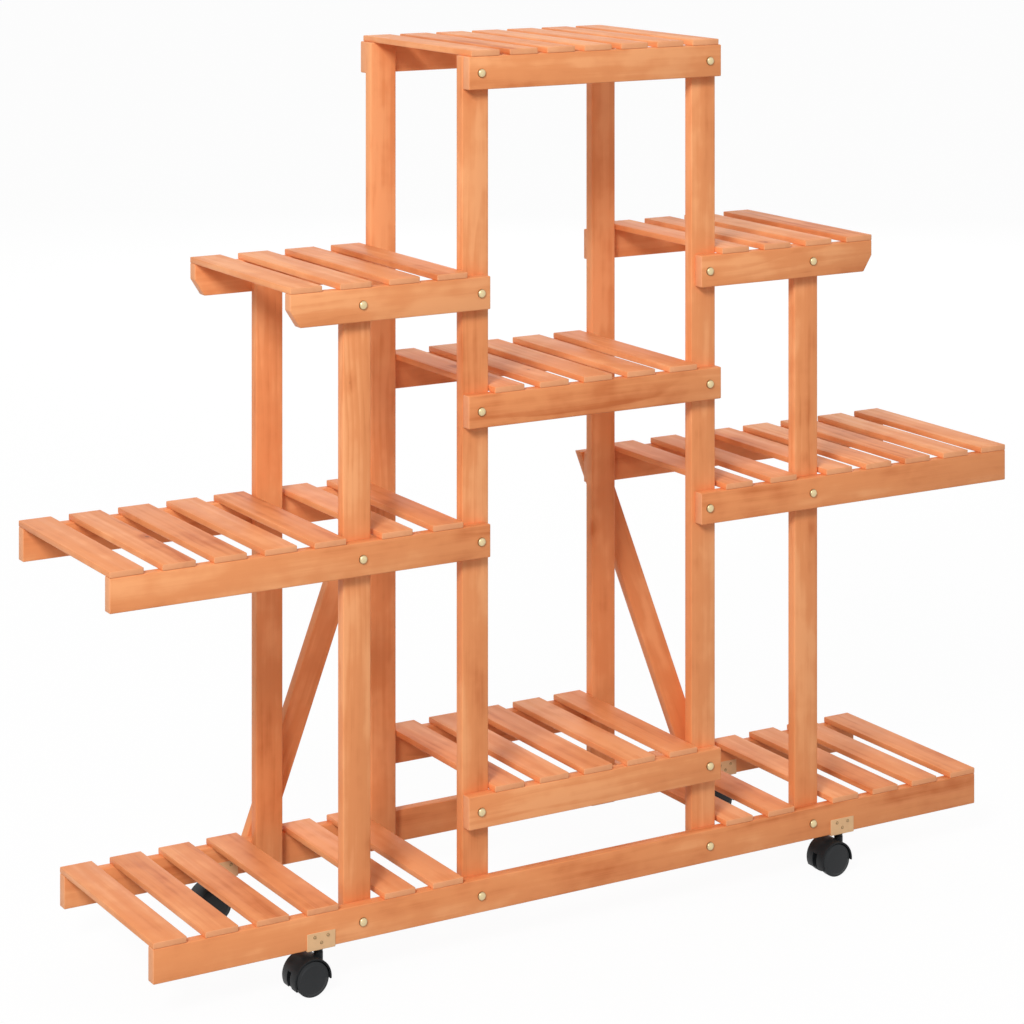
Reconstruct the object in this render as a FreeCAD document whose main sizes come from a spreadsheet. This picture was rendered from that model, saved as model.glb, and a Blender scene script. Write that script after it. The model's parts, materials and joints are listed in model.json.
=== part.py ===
import FreeCAD, Part
import math
import os
import Sketcher

# A wheeled flower cart stand: three towers of shelves on one long base.
# Every shelf is a pair of rails with slats across them, bolted to eight posts.
# Front is -Y, +X is to the right seen from the front, Z = 0 is the floor.

Vector = FreeCAD.Vector
Rotation = FreeCAD.Rotation
Placement = FreeCAD.Placement

doc = FreeCAD.newDocument("flower_cart_stand")
sizes = doc.addObject("Spreadsheet::Sheet", "sizes")
places = doc.addObject("Spreadsheet::Sheet", "places")


def fill(sheet, rows):
    for number, (alias, content) in enumerate(rows.items(), start=1):
        sheet.set("A%d" % number, alias)
        sheet.set("B%d" % number, str(content))
        sheet.setAlias("B%d" % number, alias)


# ---------------------------------------------------------------- driving sizes

driving_sizes = {
    # timber sections
    "board_thick": 14,          # rails, posts and braces
    "rail_high": 38,
    "post_wide": 34.6,
    "brace_wide": 31,
    "slat_thick": 7,
    "slat_wide": 39.5,
    "top_slat_wide": 37.5,
    "board_ease": 1.2,          # bevel along the boards' long edges
    "slat_ease": 1,             # bevel along the slats' upper edges
    # plan
    "stand_depth": 265,         # over the outer faces of the rails
    "centre_post_x": 158,
    "outer_post_x": 310.8,
    "centre_reach": 174.6,      # half length of the three centre shelves' rails
    "base_reach": 564.6,
    "mid_reach": 614.7,
    "side_top_reach": 401.1,
    "inner_reach": 145.8,       # where the side shelves' rails stop
    "bevel_long": 12.5,         # cut corner of the upper side rails
    "bevel_tall": 19.5,
    # heights above the underside of the base rails
    "low_rise": 95.7,
    "mid_rise": 404.3,
    "centre_rise": 553,
    "side_top_rise": 688,
    "top_rise": 939.8,
    # slat spacing
    "post_clear": 0.8,          # slat beside a post
    "top_inset": 3.6,           # end slats of the top shelf from the rail ends
    "base_start": 12.9,         # first outer slat from the outer post
    "mid_start": 3.4,
    "inner_start": 6.4,         # first inner slat from the centre post
    "base_inner_pitch": 62,
    "mid_inner_pitch": 65.5,
    # braces
    "brace_shift": 6.9,         # brace centre line outside the bolts it shares
    # frame bolts
    "bolt_head": 11,
    "bolt_dome": 3.5,
    "bolt_neck": 4.6,           # square neck, across the flats
    "bolt_bite": 10,            # neck in the post
    "dome_slope": 38,           # degrees off the head's axis
    "neck_gap": 0.1,            # round a neck in its mortise
    "mortise_spare": 0.5,
    # casters
    "caster_x": 359,            # swivel axis
    "caster_offset": -4.2,      # the casters are all set a little to the left
    "caster_trail": 14,         # axle behind the swivel axis
    "wheel_diameter": 40,
    "wheel_wide": 10.5,
    "axle_diameter": 5,
    "axle_bite": 7.5,           # axle in each wheel
    "web_wide": 12,
    "web_gap": 0.5,             # web to wheel
    "hood_gap": 0.8,            # tread to hood
    "hood_wall": 2,
    "hood_inset": 0.5,          # wheels stand proud of the hood's sides
    "hood_sweep": 212,
    "hood_dip": 6,              # leading lip below the axle, in degrees
    "boss_diameter": 11,
    "neck_diameter": 10.6,
    "neck_rise": 1.2,           # neck above the hood
    "neck_floor": 2,            # under the stem
    "stem_diameter": 6,
    "stem_depth": 18,           # stem in the neck
    "swivel_gap": 0.3,
    "running_gap": 0.08,
    "collar_diameter": 10,
    "collar_tall": 4,
    "spigot_across": 7,         # square peg through the bracket, into the rail
    "spigot_long": 5,
    # corner brackets
    "bracket_long": 35,
    "bracket_tall": 18.3,
    "bracket_thick": 1,
    "screw_spread": 8.2,        # upper screws each side of the middle
    "screw_upper": 13.7,
    "screw_lower": 6.8,
    "screw_head": 4,
    "screw_dome": 1.1,
    "screw_neck": 2,
    "screw_long": 11,
}
fill(sizes, driving_sizes)
doc.recompute()

tolerance = 1e-5    # for comparing places and areas

# flats that stand for the curves of what repeats
wheel_flat_count = 40
hood_flat_count = 21
head_flat_count = 8
collar_flat_count = 6

# --------------------------------------------------------------- derived places

derived_places = {
    "wheel_radius": "=sizes.wheel_diameter / 2",
    "hood_inner": "=wheel_radius + sizes.hood_gap",
    "hood_outer": "=hood_inner + sizes.hood_wall",
    "wheel_start": "=sizes.web_wide / 2 + sizes.web_gap",
    "caster_half": "=wheel_start + sizes.wheel_wide",
    "hood_half": "=caster_half - sizes.hood_inset",
    "axle_half": "=wheel_start + sizes.axle_bite",
    "neck_top": "=wheel_radius + hood_outer + sizes.neck_rise",
    "collar_under": "=neck_top + sizes.swivel_gap",
    "base_level": "=collar_under + sizes.collar_tall + sizes.bracket_thick",
    "low_level": "=base_level + sizes.low_rise",
    "mid_level": "=base_level + sizes.mid_rise",
    "centre_level": "=base_level + sizes.centre_rise",
    "side_top_level": "=base_level + sizes.side_top_rise",
    "top_level": "=base_level + sizes.top_rise",
    # the stand's overall box is centred on Y = 0
    "back_reach": "=sizes.board_thick + sizes.bolt_dome",
    "front_reach": "=caster_half - sizes.board_thick / 2",
    "middle_y": "=(front_reach - back_reach) / 2",
    "front_face": "=middle_y - sizes.stand_depth / 2",
    "back_face": "=middle_y + sizes.stand_depth / 2",
    "front_rail_y": "=front_face",
    "back_rail_y": "=back_face - sizes.board_thick",
    "front_post_y": "=front_rail_y + sizes.board_thick",    # posts stand inside the rails
    "back_post_y": "=back_rail_y - sizes.board_thick",
    "centre_post_in": "=sizes.centre_post_x - sizes.post_wide / 2",
    "centre_post_out": "=sizes.centre_post_x + sizes.post_wide / 2",
    "outer_post_out": "=sizes.outer_post_x + sizes.post_wide / 2",
    "brace_lean": "=(sizes.outer_post_x - sizes.centre_post_x) / sizes.mid_rise",
    "brace_half": "=sizes.brace_wide / 2 * sqrt(1 + brace_lean ^ 2)",
    "brace_run": "=brace_lean * sizes.rail_high / 2",
    "brace_foot": "=sizes.outer_post_x + sizes.brace_shift + brace_run",
    "brace_head": "=sizes.centre_post_x + sizes.brace_shift - brace_run",
    "bolt_long": "=sizes.board_thick + sizes.bolt_bite",
    "brace_bolt_long": "=bolt_long + sizes.board_thick",
}
fill(places, derived_places)
doc.recompute()


def value(expression):
    result = sizes.evalExpression(expression)
    return float(getattr(result, "Value", result))


def bind(thing, **properties):
    # names with double underscores are paths, such as Placement__Base__x
    for name, expression in properties.items():
        thing.setExpression(name.replace("__", "."), expression)


def put(thing, x="0", y="0", z="0"):
    bind(thing, Placement__Base__x=x, Placement__Base__y=y, Placement__Base__z=z)


def new_body(name):
    body = doc.addObject("PartDesign::Body", name)
    body.Label = name
    return body


def plane_of(body, role):
    return next(item for item in body.Origin.OriginFeatures if item.Role == role)


def profile(body, name, role, points):
    # a closed outline whose corners are dimensioned from the sketch's origin
    sketch = body.newObject("Sketcher::SketchObject", name)
    sketch.AttachmentSupport = [(plane_of(body, role), "")]
    sketch.MapMode = "FlatFace"
    corners = [Vector(value(across), value(up), 0) for across, up in points]
    for number, corner in enumerate(corners):
        sketch.addGeometry(Part.LineSegment(corner, corners[(number + 1) % len(corners)]))
    for number, (across, up) in enumerate(points):
        following = (number + 1) % len(points)
        sketch.addConstraint(Sketcher.Constraint("Coincident", number, 2, following, 1))
        for kind, axis, expression in (("DistanceX", -2, across), ("DistanceY", -1, up)):
            if expression == "0":
                sketch.addConstraint(Sketcher.Constraint("PointOnObject", number, 1, axis))
                continue
            rule = Sketcher.Constraint(kind, -1, 1, number, 1, value(expression))
            index = sketch.addConstraint(rule)
            sketch.setExpression("Constraints[%d]" % index, expression)
    sketch.Visibility = False
    return sketch


def edges_along(feature, direction, lowest=-math.inf):
    # names of the straight edges that run near a direction and lie above a height
    doc.recompute()
    return [
        "Edge%d" % number
        for number, edge in enumerate(feature.Shape.Edges, start=1)
        if abs(edge.Curve.Direction.dot(direction)) > 0.7 and edge.CenterOfMass.z > lowest
    ]


def ease(body, base, edges, size):
    bevels = body.newObject("PartDesign::Chamfer", body.Name + "_edges")
    bevels.Base = (base, edges)
    bind(bevels, Size=size)
    body.Tip = bevels


# ------------------------------------------------------------------ timber

def block(name, long, deep, tall):
    body = new_body(name)
    box = body.newObject("PartDesign::AdditiveBox", name + "_block")
    bind(box, Length=long, Width=deep, Height=tall)
    return body, box


def bevel_corner(body, box, right_end):
    # the lower corner at one end, cut longer up the end than along the underside
    doc.recompute()
    end_x = box.Shape.BoundBox.XMax if right_end else box.Shape.BoundBox.XMin
    corner = next(
        "Edge%d" % number
        for number, edge in enumerate(box.Shape.Edges, start=1)
        if abs(edge.CenterOfMass.x - end_x) < tolerance and abs(edge.CenterOfMass.z) < tolerance
    )
    bevel = body.newObject("PartDesign::Chamfer", box.Name + "_bevel")
    bevel.Base = (box, [corner])
    bevel.ChamferType = "Two distances"
    bind(bevel, Size="sizes.bevel_tall", Size2="sizes.bevel_long")
    doc.recompute()
    left_standing = sum(
        face.Area for face in bevel.Shape.Faces
        if abs(face.BoundBox.XMin - end_x) < tolerance and abs(face.BoundBox.XMax - end_x) < tolerance
    )
    wanted = value("(sizes.rail_high - sizes.bevel_tall) * sizes.board_thick")
    if abs(left_standing / wanted - 1) > tolerance:
        raise RuntimeError(body.Label + ": the corner bevel lies the wrong way round")
    return bevel


def rail(name, left, right, y, level, bevelled):
    body, form = block(name + "_board", "%s - (%s)" % (right, left), "sizes.board_thick", "sizes.rail_high")
    if bevelled:
        form = bevel_corner(body, form, bevelled == "right")
    ease(body, form, edges_along(form, Vector(1, 0, 0)), "sizes.board_ease")
    put(body, left, "places." + y, "places." + level)
    return body


def post(name, middle, y, top_level):
    tall = "places.%s + sizes.rail_high - places.base_level" % top_level
    body, form = block(name + "_board", "sizes.post_wide", "sizes.board_thick", tall)
    ease(body, form, edges_along(form, Vector(0, 0, 1)), "sizes.board_ease")
    put(body, "%s - sizes.post_wide / 2" % middle, "places." + y, "places.base_level")
    return body


mortises = {}


def square_hole(name, across, depth, middle, y, level, facing_back=False):
    # a square hole sunk along +Y from a face, or along -Y where it faces the back
    hole = doc.addObject("Part::Box", name)
    bind(hole, Length=across, Height=across, Width=depth)
    reach = " - (%s)" % depth if facing_back else ""
    put(hole, "%s - (%s) / 2" % (middle, across), y + reach, "%s - (%s) / 2" % (level, across))
    return hole


def mortise(middle, side, level, with_brace):
    # one hole for a bolt's neck through the rail, the post and a brace where one crosses
    long = "places.brace_bolt_long" if with_brace else "places.bolt_long"
    face = "places.%s_face" % side
    if with_brace:
        face += " + sizes.board_thick"
    hole = square_hole(
        "mortise_%d" % len(mortises), "(sizes.bolt_neck + 2 * sizes.neck_gap)",
        "(%s + sizes.mortise_spare)" % long, middle, face,
        "places.%s + sizes.rail_high / 2" % level, side == "back",
    )
    mortises[(middle, side, level)] = (hole, face, with_brace)
    return hole


def finish_board(name, body, holes):
    tool = doc.addObject("Part::Compound", name + "_holes")
    tool.Links = holes
    board = doc.addObject("Part::Cut", name)
    board.Label = name
    board.Base = body
    board.Tool = tool
    return board


crossing_levels = {
    # rail pair: the rise that places it, its ends and the posts it crosses
    "base_rail": ("base_level", "-sizes.base_reach", "sizes.base_reach",
                  ("left_outer", "left_centre", "right_centre", "right_outer")),
    "low_rail": ("low_level", "-sizes.centre_reach", "sizes.centre_reach",
                 ("left_centre", "right_centre")),
    "centre_rail": ("centre_level", "-sizes.centre_reach", "sizes.centre_reach",
                    ("left_centre", "right_centre")),
    "top_rail": ("top_level", "-sizes.centre_reach", "sizes.centre_reach",
                 ("left_centre", "right_centre")),
    "left_mid_rail": ("mid_level", "-sizes.mid_reach", "-sizes.inner_reach",
                      ("left_outer", "left_centre")),
    "right_mid_rail": ("mid_level", "sizes.inner_reach", "sizes.mid_reach",
                       ("right_centre", "right_outer")),
    "left_upper_rail": ("side_top_level", "-sizes.side_top_reach", "-sizes.inner_reach",
                        ("left_outer", "left_centre")),
    "right_upper_rail": ("side_top_level", "sizes.inner_reach", "sizes.side_top_reach",
                         ("right_centre", "right_outer")),
}
post_middles = {
    "left_outer": "-sizes.outer_post_x",
    "left_centre": "-sizes.centre_post_x",
    "right_centre": "sizes.centre_post_x",
    "right_outer": "sizes.outer_post_x",
}
bevelled_ends = {"left_upper_rail": "left", "right_upper_rail": "right"}
braced = {  # where a brace lies over the back rail
    ("base_level", "left_outer"), ("base_level", "right_outer"),
    ("mid_level", "left_centre"), ("mid_level", "right_centre"),
}

parts = []
post_holes = {}
brace_holes = {"left": [], "right": []}
for side in ("front", "back"):
    for rail_name, (level, left, right, posts) in crossing_levels.items():
        name = "%s_%s" % (rail_name, side)
        body = rail(name, left, right, side + "_rail_y", level, bevelled_ends.get(rail_name))
        holes = []
        for post_name in posts:
            with_brace = side == "back" and (level, post_name) in braced
            hole = mortise(post_middles[post_name], side, level, with_brace)
            holes.append(hole)
            post_holes.setdefault((post_name, side), []).append(hole)
            if with_brace:
                brace_holes[post_name.split("_")[0]].append(hole)
        parts.append(finish_board(name, body, holes))

for (post_name, side), holes in post_holes.items():
    name = "%s_post_%s" % (post_name, side)
    top_level = "side_top_level" if "outer" in post_name else "top_level"
    body = post(name, post_middles[post_name], side + "_post_y", top_level)
    parts.append(finish_board(name, body, holes))


def brace(hand, sign):
    # a leaning board with level ends, from the base rail up to the middle shelf rail
    name = hand + "_brace"
    body = new_body(name + "_board")
    wedge = body.newObject("PartDesign::AdditiveWedge", name + "_block")
    wedge.Placement = Placement(Vector(), Rotation(Vector(1, 0, 0), 90))
    foot = "%d * places.brace_foot" % sign
    head = "%d * places.brace_head" % sign
    bind(
        wedge,
        Xmin=foot + " - places.brace_half", Xmax=foot + " + places.brace_half",
        X2min=head + " - places.brace_half", X2max=head + " + places.brace_half",
        Ymin="0", Ymax="sizes.mid_rise + sizes.rail_high",
        Zmin="0", Zmax="sizes.board_thick", Z2min="0", Z2max="sizes.board_thick",
    )
    ease(body, wedge, edges_along(wedge, Vector(0, 0, 1)), "sizes.board_ease")
    put(body, "0", "places.back_face + sizes.board_thick", "places.base_level")
    return finish_board(name, body, brace_holes[hand])


parts.append(brace("left", -1))
parts.append(brace("right", 1))

# ------------------------------------------------------------------- slats

def plain_slat(name, wide):
    body, form = block(name, wide, "sizes.stand_depth", "sizes.slat_thick")
    ease(body, form, edges_along(form, Vector(0, 1, 0), lowest=0), "sizes.slat_ease")
    return body


slat = plain_slat("slat", "sizes.slat_wide")
top_slat = plain_slat("top_slat", "sizes.top_slat_wide")


def copies(master, name, spots):
    links = []
    for number, (x, y, z) in enumerate(spots):
        link = doc.addObject("App::Link", "%s_%d" % (name, number))
        link.LinkedObject = master
        link.LinkTransform = False
        put(link, x, y, z)
        links.append(link)
    return links


def group(name, links):
    compound = doc.addObject("Part::Compound", name)
    compound.Label = name
    compound.Links = links
    parts.append(compound)
    return compound


def row_of(first, last, count, wide):
    # left edges of slats spread evenly between two limits
    pitch = "(%s - (%s) - sizes.%s) / %d" % (last, first, wide, count - 1)
    return ["%s + %d * (%s)" % (first, number, pitch) for number in range(count)]


def mirrored(edges, wide):
    return ["-(%s) - sizes.%s" % (edge, wide) for edge in edges]


def lay_slats(name, level, edges, master):
    height = "places.%s + sizes.rail_high" % level
    spots = [(edge, "places.front_face", height) for edge in edges]
    group(name, copies(master, name, spots))


between = "places.centre_post_in - sizes.post_clear"
centre_edges = row_of("-(%s)" % between, between, 5, "slat_wide")
lay_slats("low_shelf_slats", "low_level", centre_edges, slat)
lay_slats("centre_shelf_slats", "centre_level", centre_edges, slat)

top_end = "(sizes.centre_reach - sizes.top_inset)"
lay_slats("top_shelf_slats", "top_level", row_of("-" + top_end, top_end, 7, "top_slat_wide"), top_slat)

inner_edge = "places.centre_post_out + sizes.inner_start"
side_shelves = {
    "base_shelf_slats": ("base_level", [inner_edge, inner_edge + " + sizes.base_inner_pitch"] + row_of(
        "places.outer_post_out + sizes.base_start", "sizes.base_reach", 4, "slat_wide")),
    "mid_shelf_slats": ("mid_level", [inner_edge, inner_edge + " + sizes.mid_inner_pitch"] + row_of(
        "places.outer_post_out + sizes.mid_start", "sizes.mid_reach", 5, "slat_wide")),
    "upper_shelf_slats": ("side_top_level", row_of(
        "places.centre_post_out + sizes.post_clear", "sizes.side_top_reach", 4, "slat_wide")),
}
for shelf_name, (level, edges) in side_shelves.items():
    lay_slats("right_" + shelf_name, level, edges, slat)
    lay_slats("left_" + shelf_name, level, mirrored(edges, "slat_wide"), slat)

# ------------------------------------------------------------- frame bolts

def corners_round(radius, first, sweep, flats):
    # corners that split a sweep round the origin, in degrees, into equal flats
    turns = ["(%s + (%s) * %d / %d) * 1 deg" % (first, sweep, step, flats) for step in range(flats + 1)]
    return [("%s * cos(%s)" % (radius, turn), "%s * sin(%s)" % (radius, turn)) for turn in turns]


def domed_fastener(name, head, dome, neck, long):
    # a domed head behind the XZ plane and a square neck along +Y
    body = new_body(name)
    corners = corners_round(head + " / 2", "180 / %d" % head_flat_count, "360", head_flat_count)[:-1]
    outline = profile(body, name + "_outline", "XZ_Plane", corners)
    cap = body.newObject("PartDesign::Pad", name + "_dome")
    cap.Profile = outline
    bind(cap, Length=dome, TaperAngle="-sizes.dome_slope")
    doc.recompute()
    shank = body.newObject("PartDesign::AdditiveBox", name + "_neck")
    bind(shank, Length=neck, Height=neck, Width=long)
    put(shank, "-(%s) / 2" % neck, "0", "-(%s) / 2" % neck)
    return body


short_bolt = domed_fastener("short_bolt", "sizes.bolt_head", "sizes.bolt_dome",
                            "sizes.bolt_neck", "places.bolt_long")
long_bolt = domed_fastener("long_bolt", "sizes.bolt_head", "sizes.bolt_dome",
                           "sizes.bolt_neck", "places.brace_bolt_long")

plain_bolts = []
brace_bolts = []
for (middle, side, level), (hole, face, with_brace) in mortises.items():
    bolt = doc.addObject("App::Link", hole.Name.replace("mortise", "bolt"))
    bolt.LinkedObject = long_bolt if with_brace else short_bolt
    bolt.LinkTransform = False
    if side == "back":
        bolt.Placement = Placement(Vector(), Rotation(Vector(0, 0, 1), 180))
    put(bolt, middle, face, "places.%s + sizes.rail_high / 2" % level)
    (brace_bolts if with_brace else plain_bolts).append(bolt)
group("frame_bolts", plain_bolts)
group("brace_bolts", brace_bolts)

# ----------------------------------------------------------------- brackets

bracket = new_body("bracket")
angle = profile(bracket, "bracket_section", "YZ_Plane", [
    ("0", "0"),
    ("sizes.bracket_thick + sizes.board_thick", "0"),
    ("sizes.bracket_thick + sizes.board_thick", "sizes.bracket_thick"),
    ("sizes.bracket_thick", "sizes.bracket_thick"),
    ("sizes.bracket_thick", "sizes.bracket_thick + sizes.bracket_tall"),
    ("0", "sizes.bracket_thick + sizes.bracket_tall"),
])
plate = bracket.newObject("PartDesign::Pad", "bracket_plate")
plate.Profile = angle
plate.Midplane = True
bind(plate, Length="sizes.bracket_long")
doc.recompute()
screw_spots = [
    ("-sizes.screw_spread", "sizes.screw_upper"),
    ("sizes.screw_spread", "sizes.screw_upper"),
    ("0", "sizes.screw_lower"),
]
spigot_hole = "(sizes.spigot_across + 2 * sizes.neck_gap)"
screw_hole = "(sizes.screw_neck + 2 * sizes.neck_gap)"
punched = bracket.newObject("PartDesign::SubtractiveBox", "bracket_stem_hole")
bind(punched, Length=spigot_hole, Width=spigot_hole, Height="sizes.bracket_thick")
put(punched, "-%s / 2" % spigot_hole,
    "sizes.bracket_thick + sizes.board_thick / 2 - %s / 2" % spigot_hole)
for number, (across, up) in enumerate(screw_spots):
    hole = bracket.newObject("PartDesign::SubtractiveBox", "bracket_screw_hole_%d" % number)
    bind(hole, Length=screw_hole, Height=screw_hole, Width="sizes.bracket_thick")
    put(hole, "%s - %s / 2" % (across, screw_hole), "0",
        "sizes.bracket_thick + %s - %s / 2" % (up, screw_hole))

caster_spots = {
    "front_left": ("(sizes.caster_offset - sizes.caster_x)", "places.front_rail_y"),
    "front_right": ("(sizes.caster_offset + sizes.caster_x)", "places.front_rail_y"),
    "back_left": ("(sizes.caster_offset - sizes.caster_x)", "places.back_rail_y"),
    "back_right": ("(sizes.caster_offset + sizes.caster_x)", "places.back_rail_y"),
}
group("caster_brackets", copies(bracket, "bracket_copy", [
    (x, face + " - sizes.bracket_thick", "places.base_level - sizes.bracket_thick")
    for x, face in caster_spots.values()
]))

bracket_screw = domed_fastener("bracket_screw", "sizes.screw_head", "sizes.screw_dome",
                               "sizes.screw_neck", "sizes.screw_long")
group("bracket_screws", copies(bracket_screw, "bracket_screw_copy", [
    ("%s + %s" % (x, across), face + " - sizes.bracket_thick", "places.base_level + " + up)
    for x, face in caster_spots.values()
    for across, up in screw_spots
]))

# sockets for the caster stems and pilot holes for the bracket screws, in the base rails
for name, (x, face) in caster_spots.items():
    cutters = []
    socket = doc.addObject("Part::Box", "stem_socket_" + name)
    bind(socket, Length=spigot_hole, Width=spigot_hole,
         Height="sizes.spigot_long - sizes.bracket_thick + sizes.mortise_spare")
    put(socket, "%s - %s / 2" % (x, spigot_hole),
        "%s + (sizes.board_thick - %s) / 2" % (face, spigot_hole), "places.base_level")
    cutters.append(socket)
    for number, (across, up) in enumerate(screw_spots):
        cutters.append(square_hole(
            "pilot_%s_%d" % (name, number), screw_hole,
            "(sizes.screw_long - sizes.bracket_thick + sizes.mortise_spare)",
            "%s + %s" % (x, across), face, "places.base_level + " + up,
        ))
    holes = doc.getObject("base_rail_%s_holes" % name.split("_")[0])
    holes.Links = holes.Links + cutters

# ------------------------------------------------------------------ casters

def along_y(feature, turn=0):
    # a feature made upright, laid down along +Y and turned about that line
    feature.Placement = Placement(Vector(), Rotation(Vector(0, 1, 0), turn) * Rotation(Vector(1, 0, 0), -90))


def caster_wheel(name):
    # inner face at local y = 0, outer face at y = wheel_wide, blind bore for the axle;
    # the tread's flats touch the wheel's true circle, and one of them stands on the floor
    body = new_body(name)
    half_flat = 180 / wheel_flat_count
    disc = body.newObject("PartDesign::AdditivePrism", name + "_disc")
    along_y(disc, half_flat)
    disc.Polygon = wheel_flat_count
    bind(disc, Circumradius="places.wheel_radius / cos(%s deg)" % half_flat, Height="sizes.wheel_wide")
    doc.recompute()
    bore = body.newObject("PartDesign::SubtractiveCylinder", name + "_bore")
    along_y(bore)
    bind(bore, Radius="sizes.axle_diameter / 2 + sizes.running_gap",
         Height="sizes.axle_bite + sizes.running_gap")
    return body


def middle_pad(body, name, corners, width):
    pad = body.newObject("PartDesign::Pad", name)
    pad.Profile = profile(body, name + "_outline", "XZ_Plane", corners)
    pad.Midplane = True
    bind(pad, Length=width)
    doc.recompute()


def caster_hood(name):
    # a T section carried over the wheels: a web between them and a fender round both treads,
    # with a boss round the axle and a neck for the stem; its middle is at local y = 0
    neck_top = "places.neck_top - places.wheel_radius"
    neck_foot = neck_top + " - sizes.stem_depth - sizes.neck_floor"
    under = corners_round("places.hood_inner", "-sizes.hood_dip", "sizes.hood_sweep", hood_flat_count)
    over = corners_round("places.hood_outer", "-sizes.hood_dip", "sizes.hood_sweep", hood_flat_count)
    body = new_body(name)
    middle_pad(body, name + "_web", [("0", "0")] + under, "sizes.web_wide")
    middle_pad(body, name + "_fender", over + under[::-1], "2 * places.hood_half")
    boss = body.newObject("PartDesign::AdditiveCylinder", name + "_boss")
    along_y(boss)
    bind(boss, Radius="sizes.boss_diameter / 2", Height="sizes.web_wide")
    put(boss, "0", "-sizes.web_wide / 2", "0")
    neck = body.newObject("PartDesign::AdditiveCylinder", name + "_neck")
    bind(neck, Radius="sizes.neck_diameter / 2", Height="%s - (%s)" % (neck_top, neck_foot))
    put(neck, "sizes.caster_trail", "0", neck_foot)
    doc.recompute()
    axle_hole = body.newObject("PartDesign::SubtractiveCylinder", name + "_axle_hole")
    along_y(axle_hole)
    bind(axle_hole, Radius="sizes.axle_diameter / 2", Height="sizes.web_wide")
    put(axle_hole, "0", "-sizes.web_wide / 2", "0")
    stem_bore = body.newObject("PartDesign::SubtractiveCylinder", name + "_stem_bore")
    bind(stem_bore, Radius="sizes.stem_diameter / 2 + sizes.running_gap",
         Height="sizes.stem_depth + sizes.swivel_gap")
    put(stem_bore, "sizes.caster_trail", "0", neck_top + " - sizes.stem_depth")
    return body


def stem_master():
    # a round pin for the neck, a six-sided collar under the bracket and a square spigot for the rail
    body = new_body("stem")
    pin = body.newObject("PartDesign::AdditiveCylinder", "stem_pin")
    bind(pin, Radius="sizes.stem_diameter / 2", Height="sizes.stem_depth")
    collar = body.newObject("PartDesign::AdditivePrism", "stem_collar")
    collar.Polygon = collar_flat_count
    bind(collar, Circumradius="sizes.collar_diameter / 2", Height="sizes.collar_tall")
    put(collar, "0", "0", "sizes.stem_depth")
    spigot = body.newObject("PartDesign::AdditiveBox", "stem_spigot")
    bind(spigot, Length="sizes.spigot_across", Width="sizes.spigot_across", Height="sizes.spigot_long")
    put(spigot, "-sizes.spigot_across / 2", "-sizes.spigot_across / 2",
        "sizes.stem_depth + sizes.collar_tall")
    return body


def caster(name, x, rail_face):
    middle = rail_face + " + sizes.board_thick / 2"
    axle_x = x + " - sizes.caster_trail"
    hood = caster_hood("caster_hood_" + name)
    put(hood, axle_x, middle, "places.wheel_radius")
    axle = doc.addObject("Part::Cylinder", "caster_axle_" + name)
    axle.Label = axle.Name
    along_y(axle)
    bind(axle, Radius="sizes.axle_diameter / 2", Height="2 * places.axle_half")
    put(axle, axle_x, middle + " - places.axle_half", "places.wheel_radius")
    near = caster_wheel("wheel_near_" + name)
    near.Placement = Placement(Vector(), Rotation(Vector(0, 0, 1), 180))
    put(near, axle_x, middle + " - places.wheel_start", "places.wheel_radius")
    far = caster_wheel("wheel_far_" + name)
    put(far, axle_x, middle + " + places.wheel_start", "places.wheel_radius")
    parts.extend([hood, axle, near, far])


group("caster_stems", copies(stem_master(), "stem_copy", [
    (x, face + " + sizes.board_thick / 2", "places.collar_under - sizes.stem_depth")
    for x, face in caster_spots.values()
]))
for caster_name, (caster_middle, face) in caster_spots.items():
    caster(caster_name, caster_middle, face)

# ---------------------------------------------------------- checks and files

doc.recompute()
for item in doc.Objects:
    if "Invalid" in item.State or "Error" in item.State:
        raise RuntimeError("%s did not build: %s" % (item.Name, item.State))
for part in parts:
    if part.Shape.isNull() or not part.Shape.isValid() or not part.Shape.Solids:
        raise RuntimeError("%s has no valid solid" % part.Label)

os.makedirs("parts", exist_ok=True)
for part in parts:
    part.Shape.exportStep("parts/%s.step" % part.Label)
whole = Part.makeCompound([part.Shape for part in parts])
print(len(parts), "nodes,", len(whole.Solids), "solids, box", whole.BoundBox)
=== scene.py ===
import json
import math
import random

import bmesh
import bpy
from mathutils import Matrix, Vector


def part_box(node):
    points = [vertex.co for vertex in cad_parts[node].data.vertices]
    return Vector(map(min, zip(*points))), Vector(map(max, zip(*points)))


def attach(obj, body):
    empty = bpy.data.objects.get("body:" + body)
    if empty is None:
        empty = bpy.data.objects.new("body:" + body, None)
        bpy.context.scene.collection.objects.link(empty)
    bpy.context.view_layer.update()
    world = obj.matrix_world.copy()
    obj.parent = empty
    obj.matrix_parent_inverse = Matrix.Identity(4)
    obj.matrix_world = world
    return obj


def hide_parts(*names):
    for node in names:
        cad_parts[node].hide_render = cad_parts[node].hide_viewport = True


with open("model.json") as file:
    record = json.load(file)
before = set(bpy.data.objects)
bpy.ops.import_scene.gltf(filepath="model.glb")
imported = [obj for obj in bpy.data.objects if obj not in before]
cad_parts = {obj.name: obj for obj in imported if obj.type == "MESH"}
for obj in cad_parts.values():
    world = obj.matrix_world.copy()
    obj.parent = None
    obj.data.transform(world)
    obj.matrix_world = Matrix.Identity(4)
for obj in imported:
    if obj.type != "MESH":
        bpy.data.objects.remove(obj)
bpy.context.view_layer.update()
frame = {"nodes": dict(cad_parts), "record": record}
nodes = frame["nodes"]
bodyOf = {
    node: body
    for body, members in frame["record"]["behaviour"]["bodies"].items()
    for node in members
}
mm = 0.001
print("frame loaded,", len(nodes), "nodes")


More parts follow.
